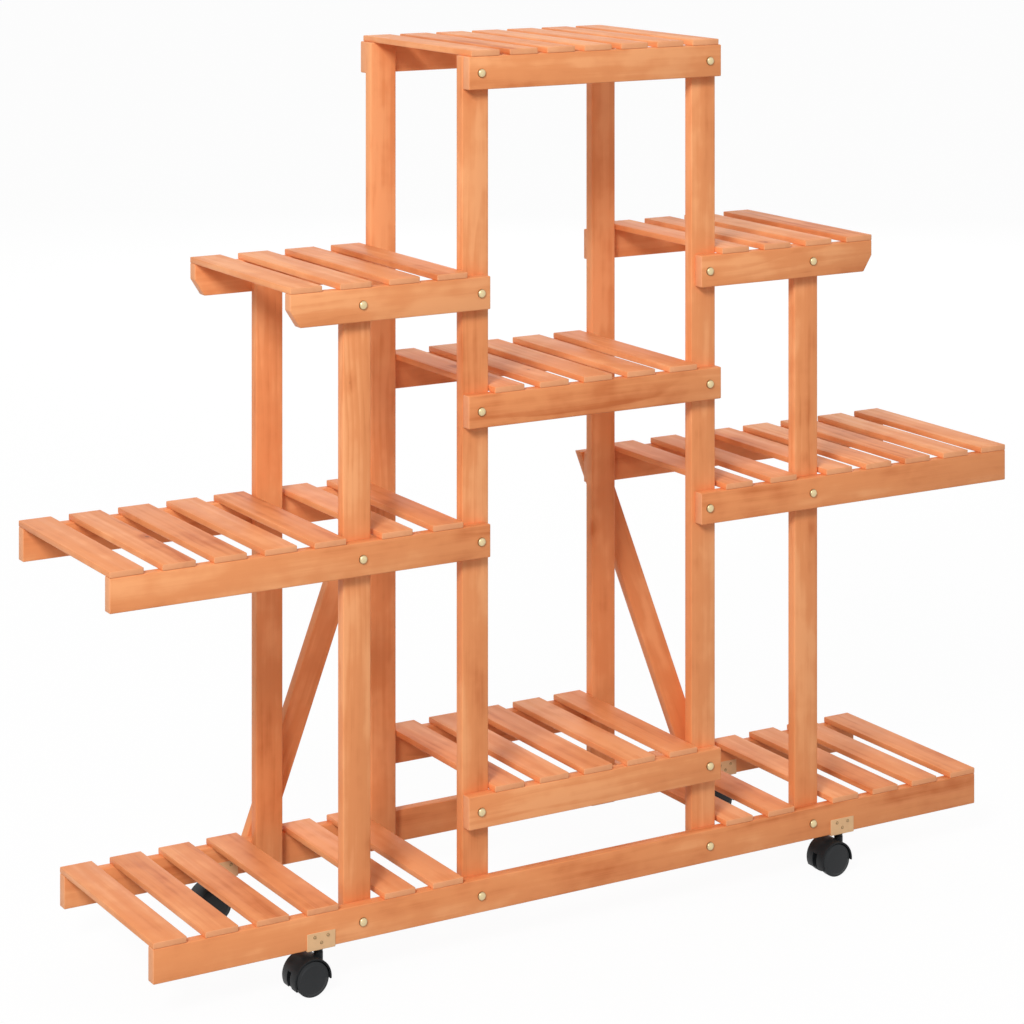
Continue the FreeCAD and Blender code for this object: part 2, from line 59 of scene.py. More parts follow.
def linear(red, green, blue):
    # a colour as it looks on screen, 0 to 255, in the renderer's own scale
    def channel(value):
        value /= 255
        return value / 12.92 if value <= 0.04045 else ((value + 0.055) / 1.055) ** 2.4
    return (channel(red), channel(green), channel(blue), 1)


def shaded(colour, share):
    return tuple(channel * share for channel in colour[:3]) + (1,)


photoCamera = {
    "place": (-1.8418, -3.04025, 1.3114),
    "yaw": 30.7,            # degrees, turned right from looking along +Y
    "horizonDrop": 704.5,   # pixels from the horizon down to the middle of the picture
    "focus": 2939,          # pixels
    "picture": 1024,
    "sensor": 36,
    "farthest": 200,
}


def makeCamera(spec):
    # the picture plane stands upright, as a view camera's does, so upright edges stay parallel:
    # the parent inverse leans only the line of sight down to the middle of the picture
    pitch = math.atan(spec["horizonDrop"] / spec["focus"])
    yaw = math.radians(spec["yaw"])
    data = bpy.data.cameras.new("photoCamera")
    data.sensor_width = spec["sensor"]
    data.lens = spec["focus"] / math.cos(pitch) / spec["picture"] * spec["sensor"]
    data.clip_end = spec["farthest"]
    camera = bpy.data.objects.new("photoCamera", data)
    bpy.context.scene.collection.objects.link(camera)
    tripod = bpy.data.objects.new("tripod", None)
    bpy.context.scene.collection.objects.link(tripod)
    sight = Vector((
        math.sin(yaw) * math.cos(pitch), math.cos(yaw) * math.cos(pitch), -math.sin(pitch)))
    right = Vector((math.cos(yaw), -math.sin(yaw), 0))
    lean = Matrix((right, Vector((0, 0, 1)), -sight)).transposed().to_4x4()
    camera.parent = tripod
    camera.matrix_parent_inverse = Matrix.Translation(spec["place"]) @ lean
    bpy.context.scene.camera = camera


makeCamera(photoCamera)
print("camera set")


def feed(tree, node, inputs):
    # fills a node's inputs, each with a value or from another node's socket
    for key, value in inputs.items():
        if isinstance(value, bpy.types.NodeSocket):
            tree.links.new(value, node.inputs[key])
        else:
            node.inputs[key].default_value = value


def nodeMaker(tree):
    # a short way to add a node with its settings and its inputs
    def add(kind, settings=None, inputs=None):
        node = tree.nodes.new(kind)
        for name, value in (settings or {}).items():
            setattr(node, name, value)
        feed(tree, node, inputs or {})
        return node
    return add


def newMaterial(name):
    material = bpy.data.materials.new(name)
    material.use_nodes = True
    return material, material.node_tree, nodeMaker(material.node_tree)


def blended(add, share, first, second):
    # one colour passing into another; a Mix node's colours are its inputs 6 and 7
    mix = add("ShaderNodeMix", {"data_type": "RGBA"}, {"Factor": share, 6: first, 7: second})
    return mix.outputs[2]


def spread(add, source, low, high, bottom, top, kind="LINEAR"):
    # a value's stretch from low to high, laid out from bottom to top
    return add("ShaderNodeMapRange", {"interpolation_type": kind}, {
        "Value": source, "From Min": low, "From Max": high,
        "To Min": bottom, "To Max": top}).outputs[0]


studio = {
    "worldStrength": 0.45,
    "floorColour": (0.5, 0.5, 0.5, 1),      # as it lights the stand from below
    "floorSeen": (0.97, 0.97, 0.97, 1),     # as the camera and reflections see it
    "floorWhite": 0.955,     # how far a camera ray sees plain white
    "floorRoughness": 0.9,
    "floorSheen": 0.1,
    "floorHalf": 40,
    "lamps": {
        # where it stands, what it points at, its size, its watts and whether gloss picks it up
        "keyLamp": ((-3.72, -3.36, 3.8), (0, 0, 0.5), 1.5, 244, True),
        "topLamp": ((0.2, -0.6, 4.6), (0, 0, 0.4), 3.0, 5, True),
        "backLamp": ((3.0, 4.2, 2.2), (0, 0, 0.5), 2.4, 105, False),
    },
}


def backgroundRays(add):
    # 1 where the camera, a reflection or clear glass looks straight at the background
    path = add("ShaderNodeLightPath")
    seen = add("ShaderNodeMath", {"operation": "ADD"}, {
        0: path.outputs["Is Camera Ray"], 1: path.outputs["Is Glossy Ray"]})
    every = add("ShaderNodeMath", {"operation": "ADD", "use_clamp": True}, {
        0: seen.outputs[0], 1: path.outputs["Is Transmission Ray"]})
    return every.outputs[0]


def makeBackground(spec):
    world = bpy.data.worlds.new("studio")
    bpy.context.scene.world = world
    world.use_nodes = True
    tree = world.node_tree
    add = nodeMaker(tree)
    strength = add("ShaderNodeMix", None, {
        "Factor": backgroundRays(add), "A": spec["worldStrength"], "B": 1.0})
    feed(tree, tree.nodes["Background"], {
        "Color": (1, 1, 1, 1), "Strength": strength.outputs["Result"]})


def makeFloor(spec):
    mesh = bpy.data.meshes.new("floor")
    bm = bmesh.new()
    bmesh.ops.create_grid(bm, x_segments=1, y_segments=1, size=spec["floorHalf"])
    bm.to_mesh(mesh)
    bm.free()
    floor = bpy.data.objects.new("floor", mesh)
    bpy.context.scene.collection.objects.link(floor)
    material, tree, add = newMaterial("floorPaint")
    paint = tree.nodes["Principled BSDF"]
    rays = backgroundRays(add)
    feed(tree, paint, {
        "Base Color": blended(add, rays, spec["floorColour"], spec["floorSeen"]),
        "Roughness": spec["floorRoughness"], "Specular IOR Level": spec["floorSheen"]})
    glow = add("ShaderNodeEmission", None, {"Color": (1, 1, 1, 1)})
    white = add("ShaderNodeMath", {"operation": "MULTIPLY"}, {0: rays, 1: spec["floorWhite"]})
    mix = add("ShaderNodeMixShader", None, {
        0: white.outputs[0], 1: paint.outputs[0], 2: glow.outputs[0]})
    feed(tree, tree.nodes["Material Output"], {"Surface": mix.outputs[0]})
    mesh.materials.append(material)


def makeLamps(spec):
    for name, (place, target, size, power, mirrored) in spec["lamps"].items():
        data = bpy.data.lights.new(name, "AREA")
        data.shape = "SQUARE"
        data.size = size
        data.energy = power
        lamp = bpy.data.objects.new(name, data)
        lamp.location = place
        lamp.visible_glossy = mirrored
        aim = Vector(target) - Vector(place)
        lamp.rotation_euler = aim.to_track_quat("-Z", "Y").to_euler()
        bpy.context.scene.collection.objects.link(lamp)


bpy.context.scene.view_settings.view_transform = "Standard"
makeBackground(studio)
makeFloor(studio)
makeLamps(studio)
print("studio lit")

woodLook = {
    "pale": linear(248, 170, 114),
    "middle": linear(236, 151, 95),
    "deep": linear(202, 109, 57),
    "middleAt": 0.36,             # of the way from pale to deep
    "knot": linear(128, 64, 32),
    "endGrain": linear(238, 168, 122),
    "endShow": 0.7,
    "noises": {
        # scale along the grain, scale across it, detail and roughness
        "wander": (2.6, 14, 2.0, 0.5),
        "ringPatch": (3.0, 9, 1.0, 0.5),
        "cloud": (5.5, 24, 3.0, 0.5),
        "figure": (30, 34, 2.0, 0.5),
        "streak": (2.4, 120, 3.0, 0.6),
        "fibre": (26, 1100, 3.0, 0.6),
    },
    "stains": {
        # stretch of the noise that shows, and how much it darkens the wood at either end
        "cloud": (0.3, 0.7, -0.1, 0.56),
        "figure": (0.35, 0.7, -0.05, 0.16),
        "streak": (0.3, 0.7, -0.09, 0.13),
        "fibre": (0.3, 0.7, -0.035, 0.045),
    },
    "ringSpacing": 8.5 * mm,
    "ringPeak": (0.15, 0.88),     # where in the spacing a ring begins and where it is darkest
    "ringPatch": (0.42, 0.7, 0.0, 0.2),     # as a stain: weakest and strongest rings
    "ringWander": 0.04,
    "ringRelief": 0.25,           # beside the fibres'
    "knotScale": 11.0,
    "knotStretch": 0.62,
    "knotSize": 0.036,            # of the spacing between knots
    "knotCore": (0.35, 0.75),     # reach, of the knot's size, and how dark
    "knotHalo": (3.4, 0.32),
    "roughness": (0.3, 0.7, 0.42, 0.56),    # from the streaks
    "relief": (0.3, 0.2 * mm),    # strength and depth of the bump
    "sheen": 0.28,
}


def makeGrainGroup(spec):
    # solid softwood: x runs along the grain, and y and z across it, from the tree's pith
    group = bpy.data.node_groups.new("softwoodGrain", "ShaderNodeTree")
    for name, way, kind in (
        ("Place", "INPUT", "Vector"), ("Tone", "INPUT", "Float"), ("End", "INPUT", "Float"),
        ("Color", "OUTPUT", "Color"), ("Roughness", "OUTPUT", "Float"),
        ("Height", "OUTPUT", "Float"),
    ):
        group.interface.new_socket(name, in_out=way, socket_type="NodeSocket" + kind)
    add = nodeMaker(group)
    given = add("NodeGroupInput")
    place = given.outputs["Place"]

    def maths(operation, first, second, kind="ShaderNodeMath"):
        return add(kind, {"operation": operation}, {0: first, 1: second}).outputs[0]

    def vectors(operation, first, second):
        return maths(operation, first, second, "ShaderNodeVectorMath")

    def noise(name, output="Fac"):
        along, across, detail, roughness = spec["noises"][name]
        return add("ShaderNodeTexNoise", None, {
            "Vector": vectors("MULTIPLY", place, (along, across, across)),
            "Scale": 1.0, "Detail": detail, "Roughness": roughness}).outputs[output]

    # growth rings: distance from the pith, pushed about by a slow wander, only faintly stained
    reach = spec["ringWander"]
    wander = vectors("SUBTRACT", noise("wander", "Color"), (0.5, 0.5, 0.5))
    moved = vectors("ADD", place, vectors("MULTIPLY", wander, (0, reach, reach)))
    radius = add("ShaderNodeVectorMath", {"operation": "LENGTH"}, {
        0: vectors("MULTIPLY", moved, (0, 1, 1))}).outputs["Value"]
    phase = maths("FRACT", maths("DIVIDE", radius, spec["ringSpacing"]), 0.0)
    begins, darkest = spec["ringPeak"]
    ring = maths("MULTIPLY", spread(add, phase, begins, darkest, 0.0, 1.0, "SMOOTHERSTEP"),
                 spread(add, phase, darkest, 1.0, 1.0, 0.0, "SMOOTHSTEP"))
    dark = maths("MULTIPLY", ring, spread(add, noise("ringPatch"), *spec["ringPatch"]))

    # stain taken up in soft clouds, short bars of figure across the board, streaks and fibres
    noises = {name: noise(name) for name in spec["stains"]}
    for name, stain in spec["stains"].items():
        dark = maths("ADD", dark, spread(add, noises[name], *stain))
    dark = maths("ADD", dark, given.outputs["Tone"])

    # small pin knots with a stained halo
    away = add("ShaderNodeTexVoronoi", None, {
        "Vector": vectors("MULTIPLY", place, (spec["knotStretch"], 1, 1)),
        "Scale": spec["knotScale"], "Randomness": 1.0}).outputs["Distance"]
    size = spec["knotSize"]
    (coreReach, coreDark), (haloReach, haloDark) = spec["knotCore"], spec["knotHalo"]
    halo = spread(add, away, size, size * haloReach, haloDark, 0.0, "SMOOTHSTEP")
    core = spread(add, away, size * coreReach, size, coreDark, 0.0, "SMOOTHSTEP")

    ramp = add("ShaderNodeValToRGB", None, {"Fac": maths("ADD", dark, halo)})
    ramp.color_ramp.interpolation = "EASE"
    ramp.color_ramp.elements[0].color = spec["pale"]
    ramp.color_ramp.elements[1].color = spec["deep"]
    ramp.color_ramp.elements.new(spec["middleAt"]).color = spec["middle"]
    stained = blended(add, core, ramp.outputs["Color"], spec["knot"])
    endShare = maths("MULTIPLY", given.outputs["End"], spec["endShow"])
    relief = maths("ADD", maths("MULTIPLY", ring, spec["ringRelief"]), noises["fibre"])
    add("NodeGroupOutput", None, {
        "Color": blended(add, endShare, stained, spec["endGrain"]),
        "Roughness": spread(add, noises["streak"], *spec["roughness"]),
        "Height": relief})
    return group


def makeWood(spec, group):
    material, tree, add = newMaterial("stainedSoftwood")
    grain = add("ShaderNodeAttribute", {"attribute_name": "boardGrain"})
    tone = add("ShaderNodeAttribute", {"attribute_name": "boardTone"})
    end = add("ShaderNodeAttribute", {"attribute_name": "boardEnd"})
    softwood = add("ShaderNodeGroup", {"node_tree": group}, {
        "Place": grain.outputs["Vector"], "Tone": tone.outputs["Fac"],
        "End": end.outputs["Fac"]})
    strength, deep = spec["relief"]
    bump = add("ShaderNodeBump", None, {
        "Strength": strength, "Distance": deep, "Height": softwood.outputs["Height"]})
    feed(tree, tree.nodes["Principled BSDF"], {
        "Base Color": softwood.outputs["Color"], "Roughness": softwood.outputs["Roughness"],
        "Normal": bump.outputs[0], "Specular IOR Level": spec["sheen"]})
    return material


metalLook = {
    # colour, colour of the rim's tarnish and painted shade, roughness, scale of the haze, and how
    # metallic
    "brassPlate": (linear(240, 218, 168), linear(128, 90, 46), 0.33, 260, 0.5),
    "screwSteel": (linear(190, 156, 112), linear(120, 92, 62), 0.45, 260, 0.6),
    "brightSteel": (linear(200, 200, 198), linear(120, 118, 114), 0.3, 240, 1.0),
}
metalHaze = {
    "detail": 3.0,
    "darkest": 0.86,         # of the metal's own colour
    "smoother": 0.06,        # taken from the metal's roughness where the haze is thin
    "rougher": 0.1,
}


def makeMetal(name):
    colour, rimColour, roughness, hazeScale, metallic = metalLook[name]
    material, tree, add = newMaterial(name)
    haze = add("ShaderNodeTexNoise", None, {
        "Vector": add("ShaderNodeTexCoord").outputs["Object"],
        "Scale": hazeScale, "Detail": metalHaze["detail"]}).outputs["Fac"]
    shade = blended(add, haze, colour, shaded(colour, metalHaze["darkest"]))
    # each head darkens towards the rim colour at its rim: tarnish and painted shade where the
    # head meets the surface below
    rim = add("ShaderNodeAttribute", {"attribute_name": "headRim"})
    smoothest, roughest = roughness - metalHaze["smoother"], roughness + metalHaze["rougher"]
    feed(tree, tree.nodes["Principled BSDF"], {
        "Base Color": blended(add, rim.outputs["Fac"], shade, rimColour),
        "Roughness": spread(add, haze, 0, 1, smoothest, roughest),
        "Metallic": metallic})
    return material


plasticLook = {
    # colour, roughness, specular level, scale of the texture and its strength
    "wheelPlastic": (linear(34, 36, 38), 0.42, 0.3, 1500, 0.25),
    "hoodPlastic": (linear(25, 27, 29), 0.45, 0.22, 1500, 0.2),
    "bracketPaint": (linear(232, 188, 140), 0.5, 0.4, 900, 0.12),
}
plasticTexture = {
    "detail": 2.0,
    "cloudScale": 70.0,
    "shadeSpread": 0.12,     # darker and lighter than the plastic's own colour
    "roughSpread": 0.05,
    "deep": 0.1 * mm,
}


def makePlastic(name):
    # a moulded or painted surface with a fine pebbled texture
    colour, roughness, specular, textureScale, strength = plasticLook[name]
    material, tree, add = newMaterial(name)
    place = add("ShaderNodeTexCoord").outputs["Object"]
    pebble, cloud = [
        add("ShaderNodeTexNoise", None, {
            "Vector": place, "Scale": scale, "Detail": plasticTexture["detail"]}).outputs["Fac"]
        for scale in (textureScale, plasticTexture["cloudScale"])
    ]
    darker, lighter = [shaded(colour, 1 + way * plasticTexture["shadeSpread"]) for way in (-1, 1)]
    vary = plasticTexture["roughSpread"]
    bump = add("ShaderNodeBump", None, {
        "Strength": strength, "Distance": plasticTexture["deep"], "Height": pebble})
    feed(tree, tree.nodes["Principled BSDF"], {
        "Base Color": blended(add, cloud, darker, lighter),
        "Roughness": spread(add, cloud, 0, 1, roughness - vary, roughness + vary),
        "Normal": bump.outputs[0], "Specular IOR Level": specular})
    return material


wood = makeWood(woodLook, makeGrainGroup(woodLook))
brass, screwSteel, steel = [makeMetal(name) for name in metalLook]
wheelPlastic, hoodPlastic, bracketPaint = [makePlastic(name) for name in plasticLook]
print("materials made")

cadWeld = 1e-6       # how near two corners are one, in the CAD's triangles
newWeld = 1e-7       # and in new shapes


def addPiece(name, bm, materials, smoothAngle, replaced):
    # a finished piece that stands for a CAD node; edges sharper than the angle stay sharp
    mesh = bpy.data.meshes.new(name)
    bm.to_mesh(mesh)
    bm.free()
    mesh.polygons.foreach_set("use_smooth", [True] * len(mesh.polygons))
    mesh.set_sharp_from_angle(angle=math.radians(smoothAngle))
    for material in materials:
        mesh.materials.append(material)
    piece = bpy.data.objects.new(name, mesh)
    bpy.context.scene.collection.objects.link(piece)
    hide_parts(replaced)
    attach(piece, bodyOf[replaced])
    return piece


def mergedCopy(node):
    # the CAD node's own shape with its loose triangles joined up
    bm = bmesh.new()
    bm.from_mesh(nodes[node].data)
    bmesh.ops.remove_doubles(bm, verts=bm.verts, dist=cadWeld)
    return bm


def islands(node):
    # the lowest and highest corner of each separate solid in a node
    bm = mergedCopy(node)
    waiting = set(bm.verts)
    found = []
    while waiting:
        reached = [waiting.pop()]
        for vert in reached:
            for edge in vert.link_edges:
                other = edge.other_vert(vert)
                if other in waiting:
                    waiting.remove(other)
                    reached.append(other)
        low = Vector([min(vert.co[axis] for vert in reached) for axis in range(3)])
        high = Vector([max(vert.co[axis] for vert in reached) for axis in range(3)])
        found.append((low, high))
    bm.free()
    # in order from the floor up, then front to back and left to right, to a tenth of a millimetre
    return sorted(found, key=lambda box: [round(box[0][axis], 4) for axis in (2, 1, 0)])


def spun(section, axis, steps):
    # an outline turned once round an axis through the origin; its points are (across, along)
    bm = bmesh.new()
    upright = axis == "Z"
    chain = [
        bm.verts.new((across, 0, along) if upright else (across, along, 0))
        for across, along in section
    ]
    edges = [bm.edges.new(pair) for pair in zip(chain, chain[1:])]
    bmesh.ops.spin(bm, geom=chain + edges, cent=(0, 0, 0),
                   axis=(0, 0, 1) if upright else (0, 1, 0),
                   angle=math.tau, steps=steps, use_merge=True)
    bmesh.ops.remove_doubles(bm, verts=bm.verts, dist=newWeld)
    bmesh.ops.recalc_face_normals(bm, faces=bm.faces)
    return bm


def roundBar(radius, foot, top, axis, steps, footChamfer=0, topChamfer=0):
    # a bar on the axis from its foot to its top, with chamfered ends where asked
    section = [(0, foot)]
    if footChamfer:
        section.append((radius - footChamfer, foot))
    section += [(radius, foot + footChamfer), (radius, top - topChamfer)]
    if topChamfer:
        section.append((radius - topChamfer, top))
    return spun(section + [(0, top)], axis, steps)


def joined(bm, other):
    # puts a copy of one shape into another's mesh and frees it
    mesh = bpy.data.meshes.new("passing")
    other.to_mesh(mesh)
    other.free()
    bm.from_mesh(mesh)
    bpy.data.meshes.remove(mesh)


def carved(bm, other, operation):
    # joins two closed shapes into one, or cuts the second from the first
    work = []
    for shape in (bm, other):
        mesh = bpy.data.meshes.new("work")
        shape.to_mesh(mesh)
        shape.free()
        thing = bpy.data.objects.new("work", mesh)
        bpy.context.scene.collection.objects.link(thing)
        work.append(thing)
    modifier = work[0].modifiers.new("carve", "BOOLEAN")
    modifier.object = work[1]
    modifier.operation = operation
    modifier.solver = "EXACT"
    graph = bpy.context.evaluated_depsgraph_get()
    mesh = bpy.data.meshes.new_from_object(work[0].evaluated_get(graph))
    result = bmesh.new()
    result.from_mesh(mesh)
    bpy.data.meshes.remove(mesh)
    for thing in work:
        used = thing.data
        bpy.data.objects.remove(thing)
        bpy.data.meshes.remove(used)
    return result


timber = {
    "ease": 1.3 * mm,         # rounded edges of rails, posts and braces
    "slatEase": 1.0 * mm,
    "easeSteps": 3,
    "trunkLong": 9,           # trunk that the boards are cut from
    "pithAcross": 0.07,       # how far off the board the tree's pith may lie
    "pithDeep": (0.02, 0.09),
    "toneSpread": 0.12,
    "endFacing": 0.7,         # how squarely an end's faces look along the board
    "cornerCut": (12.5 * mm, 19.5 * mm),   # lower corner of the upper side rails
    "smooth": 35,
    "seed": 11,
}
chance = random.Random(timber["seed"])


def namedLayer(layers, name):
    return layers.get(name) or layers.new(name)


def cutLowerCorner(bm, size, cutEnd):
    long, tall = timber["cornerCut"]
    corner = Vector((cutEnd * (size[0] / 2 - long), -size[1] / 2, 0))
    cut = bmesh.ops.bisect_plane(
        bm, geom=[*bm.verts, *bm.edges, *bm.faces], dist=newWeld, clear_outer=True,
        plane_co=corner, plane_no=Vector((cutEnd * tall, -long, 0)).normalized(),
    )
    rim = [item for item in cut["geom_cut"] if isinstance(item, bmesh.types.BMEdge)]
    bmesh.ops.contextual_create(bm, geom=rim)


def addBoard(bm, size, place, ease, cutEnd=0):
    # one board: long along its own x, wide along y, thin along z, then laid in place
    grain = namedLayer(bm.verts.layers.float_vector, "boardGrain")
    tone = namedLayer(bm.verts.layers.float, "boardTone")
    end = namedLayer(bm.loops.layers.float, "boardEnd")
    before = set(bm.verts)
    bmesh.ops.create_cube(bm, size=1, matrix=Matrix.Diagonal((*size, 1)))
    if cutEnd:
        cutLowerCorner(bm, size, cutEnd)
    made = [vert for vert in bm.verts if vert not in before]
    edges = list({edge for vert in made for edge in vert.link_edges})
    bmesh.ops.bevel(bm, geom=edges, offset=ease, segments=timber["easeSteps"], profile=0.5,
                    affect="EDGES", material=-1, clamp_overlap=True)
    made = [vert for vert in bm.verts if vert not in before]
    bm.normal_update()
    for face in {face for vert in made for face in vert.link_faces}:
        for loop in face.loops:
            loop[end] = float(abs(face.normal.x) > timber["endFacing"])
    side = chance.choice((-1, 1))
    shift = Vector((
        chance.uniform(0, timber["trunkLong"]),
        chance.uniform(-1, 1) * timber["pithAcross"],
        side * chance.uniform(*timber["pithDeep"]),
    ))
    shade = chance.uniform(-1, 1) * timber["toneSpread"]
    for vert in made:
        vert[grain] = vert.co + shift
        vert[tone] = shade
    bmesh.ops.transform(bm, matrix=place, verts=made)


# how a board's own x, y and z lie in the stand
layouts = {
    "rail": Matrix(((1, 0, 0), (0, 0, -1), (0, 1, 0))),      # long along X, wide along Z
    "post": Matrix(((0, -1, 0), (0, 0, -1), (1, 0, 0))),     # long along Z, wide along X
    "slat": Matrix(((0, -1, 0), (1, 0, 0), (0, 0, 1))),      # long along Y, wide along X
}


def layBoard(bm, low, high, layout, ease, cutEnd=0):
    turn = layouts[layout]
    local = turn.transposed() @ (high - low)
    size = Vector((abs(local.x), abs(local.y), abs(local.z)))
    addBoard(bm, size, Matrix.Translation((low + high) / 2) @ turn.to_4x4(), ease, cutEnd)


def makeBoards():
    for node in sorted(nodes):
        if "_rail_" not in node and "_post_" not in node:
            continue
        low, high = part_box(node)
        cutEnd = {"left_upper": -1, "right_upper": 1}.get(node.split("_rail")[0], 0)
        layout = "rail" if "_rail_" in node else "post"
        bm = bmesh.new()
        layBoard(bm, low, high, layout, timber["ease"], cutEnd)
        addPiece(node + "_board", bm, [wood], timber["smooth"], node)


def makeBraces():
    # a brace leans, and its ends are cut level, so it is an upright board pushed over sideways
    for node in ("left_brace", "right_brace"):
        low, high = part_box(node)
        points = [vert.co for vert in nodes[node].data.vertices]
        foot = [point.x for point in points if point.z < low.z + mm]
        head = [point.x for point in points if point.z > high.z - mm]
        footMiddle = (min(foot) + max(foot)) / 2
        headMiddle = (min(head) + max(head)) / 2
        tall = high.z - low.z
        shear = Matrix.Identity(4)
        shear[0][2] = (headMiddle - footMiddle) / tall
        middle = Vector((
            (footMiddle + headMiddle) / 2, (low.y + high.y) / 2, (low.z + high.z) / 2))
        place = Matrix.Translation(middle) @ shear @ layouts["post"].to_4x4()
        size = Vector((tall, max(foot) - min(foot), high.y - low.y))
        bm = bmesh.new()
        addBoard(bm, size, place, timber["ease"])
        addPiece(node + "_board", bm, [wood], timber["smooth"], node)


def makeSlats():
    for node in sorted(nodes):
        if not node.endswith("_slats"):
            continue
        bm = bmesh.new()
        for low, high in islands(node):
            layBoard(bm, low, high, "slat", timber["slatEase"])
        addPiece(node + "_boards", bm, [wood], timber["smooth"], node)


makeBoards()
makeBraces()
makeSlats()
print("timber cut")

fasteners = {
    # height of the dome, material and slot of each set
    "frame_bolts": (3.5 * mm, brass, "brass_bolt"),
    "brace_bolts": (3.5 * mm, brass, "brass_bolt"),
    "bracket_screws": (1.1 * mm, screwSteel, "bracket_zinc"),
}
fastenerLook = {
    "domeSteps": 9,
    "turnSteps": 32,
    "rimRound": 0.2,         # height of the upright rim, as a share of the dome
    "shank": 0.4,            # of the head's radius
    "rimTarnishAndShade": 8,            # how sharply the tarnish and painted shade gather at the rim
    "smooth": 50,
}


def addFastener(bm, place, headRadius, dome, long):
    # half a section, dome up and shank down, turned about its own z
    rim = dome * fastenerLook["rimRound"]
    shank = headRadius * fastenerLook["shank"]
    steps = fastenerLook["domeSteps"]
    section = [(0, -long), (shank, -long), (shank, 0), (headRadius, 0)]
    for step in range(steps):
        angle = math.pi / 2 * step / steps
        section.append((headRadius * math.cos(angle), rim + (dome - rim) * math.sin(angle)))
    section.append((0, dome))
    single = spun(section, "Z", fastenerLook["turnSteps"])
    # darker towards the rim: tarnish and painted shade where the head meets the surface below
    shade = single.verts.layers.float.new("headRim")
    for vert in single.verts:
        across = math.hypot(vert.co.x, vert.co.y) / headRadius
        vert[shade] = min(across, 1) ** fastenerLook["rimTarnishAndShade"]
    bmesh.ops.transform(single, matrix=place, verts=single.verts)
    joined(bm, single)


def makeFasteners(node):
    dome, material, slot = fasteners[node]
    bm = bmesh.new()
    middle = sum(corner.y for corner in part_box("top_shelf_slats")) / 2
    for low, high in islands(node):
        # the bolts of the back row point the other way
        towardsFront = (low.y + high.y) / 2 < middle or node == "bracket_screws"
        face = low.y + dome if towardsFront else high.y - dome
        long = high.y - face if towardsFront else face - low.y
        turn = Matrix.Rotation(math.radians(90 if towardsFront else -90), 4, "X")
        place = Matrix.Translation(((low.x + high.x) / 2, face, (low.z + high.z) / 2)) @ turn
        addFastener(bm, place, (high.x - low.x) / 2, dome, long)
    addPiece(node + "_domed", bm, [material], fastenerLook["smooth"], node)


for node in fasteners:
    makeFasteners(node)
print("fasteners driven")

wheel = {
    "edge": 1.5 * mm,        # rounded edge between the tread and the disc
    "edgeSteps": 5,
    "crown": 1.8 * mm,       # how far the disc stands out of its rounded edge
    "ringRadius": 15.4 * mm, # a fine step that parts the disc's rim from its middle
    "ringRise": 0.7 * mm,
    "stepRise": 0.15 * mm,
    "crownSteps": 6,
    "innerEdge": 0.8 * mm,
    "innerRound": 0.3,       # where the inner edge's middle point lies, of its size
    "dish": 5.5 * mm,        # hollow on the side towards the hood
    "treadThick": 2.6 * mm,
    "hubRadius": 5.5 * mm,
    "boreRadius": 2.58 * mm,
    "boreDeep": 7.58 * mm,
    "steps": 96,
    "smooth": 32,
}


def wheelSection(radius, wide):
    # across from the axle, then along it from the inner side: bore, hub, dish and inner edge
    bore, hub, dish = wheel["boreRadius"], wheel["hubRadius"], wheel["dish"]
    inside, inner, share = radius - wheel["treadThick"], wheel["innerEdge"], wheel["innerRound"]
    section = [
        (0, wheel["boreDeep"]), (bore, wheel["boreDeep"]), (bore, 0),
        (hub, 0), (hub, dish), (inside, dish), (inside, 0),
        (radius - inner, 0), (radius - inner * share, inner * share), (radius, inner),
    ]
    # the rounded outer edge, the fine step and the crowned disc
    edge, crown, ring = wheel["edge"], wheel["crown"], wheel["ringRadius"]
    for step in range(wheel["edgeSteps"] + 1):
        angle = math.pi / 2 * step / wheel["edgeSteps"]
        section.append((radius - edge + edge * math.cos(angle),
                        wide - crown - edge + edge * math.sin(angle)))
    section.append((ring + wheel["stepRise"], wide - crown + wheel["ringRise"]))
    left = crown - wheel["ringRise"] - wheel["stepRise"]
    for step in range(wheel["crownSteps"]):
        share = 1 - step / wheel["crownSteps"]
        section.append((ring * share, wide - left * share ** 2))
    return section + [(0, wide)]


def makeWheel(node):
    low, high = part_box(node)
    middle = (low + high) / 2
    hoodLow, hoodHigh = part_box("caster_hood_" + node.split("_", 2)[2])
    outward = 1 if middle.y > (hoodLow.y + hoodHigh.y) / 2 else -1
    bm = spun(wheelSection((high.z - low.z) / 2, high.y - low.y), "Y", wheel["steps"])
    if outward < 0:
        bmesh.ops.scale(bm, vec=(1, -1, 1), verts=bm.verts)
        bmesh.ops.recalc_face_normals(bm, faces=bm.faces)
    start = low.y if outward > 0 else high.y
    bmesh.ops.translate(bm, vec=(middle.x, start, middle.z), verts=bm.verts)
    addPiece(node + "_moulding", bm, [wheelPlastic], wheel["smooth"], node)


hood = {
    "innerRadius": 20.8 * mm,
    "outerRadius": 22.8 * mm,
    "webHalf": 6 * mm,
    "webFoot": 3.5 * mm,     # where the web begins, inside the boss
    "dip": 6,                # degrees that the leading lip reaches below the axle
    "sweep": 212,
    "sweepSteps": 60,
    "edge": 0.8 * mm,        # rounded outer edges
    "edgeRound": 0.3,        # where an edge's or fillet's middle point lies, of its size
    "lip": 0.4,              # the fender's inner lip, of its outer edge
    "fillet": 1.6 * mm,      # between the web and the fender
    "bossRadius": 5.5 * mm,
    "axleRadius": 2.5 * mm,
    "neckRadius": 5.3 * mm,
    "neckFoot": 24 * mm,     # above the floor
    "neckChamfer": 0.5 * mm,
    "boreRadius": 3.08 * mm,
    "slotHalf": 4 * mm,      # slot between the wheels on the trailing side
    "slotTop": 8 * mm,       # above the axle
    "slotDeep": 7 * mm,
    "past": 1 * mm,          # how far a cut runs on past the surface
    "steps": 48,
    "smooth": 32,
}


